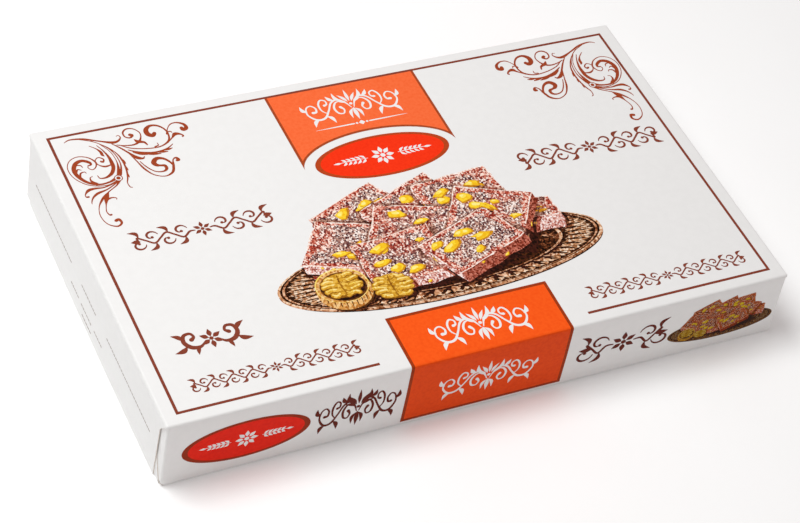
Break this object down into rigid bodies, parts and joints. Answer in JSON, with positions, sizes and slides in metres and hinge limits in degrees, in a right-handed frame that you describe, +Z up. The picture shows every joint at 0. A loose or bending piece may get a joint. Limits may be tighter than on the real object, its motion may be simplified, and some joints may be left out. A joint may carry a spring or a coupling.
{
  "type": "shut confectionery carton",
  "caption": "Flat oblong folding carton of white printed board for sweets, shut at both ends with layered tuck flaps.",
  "frame": {"origin": "middle of the flat base, on the surface that the carton rests on", "axes": "+X along the carton's long side, +Y from the printed front panel to the back panel, +Z up through the printed top panel"},
  "size_m": [0.25, 0.15, 0.032],
  "materials": {
    "board": "satin"
  },
  "bodies": {
    "root": {"carton": "board"}
  },
  "joints": []
}
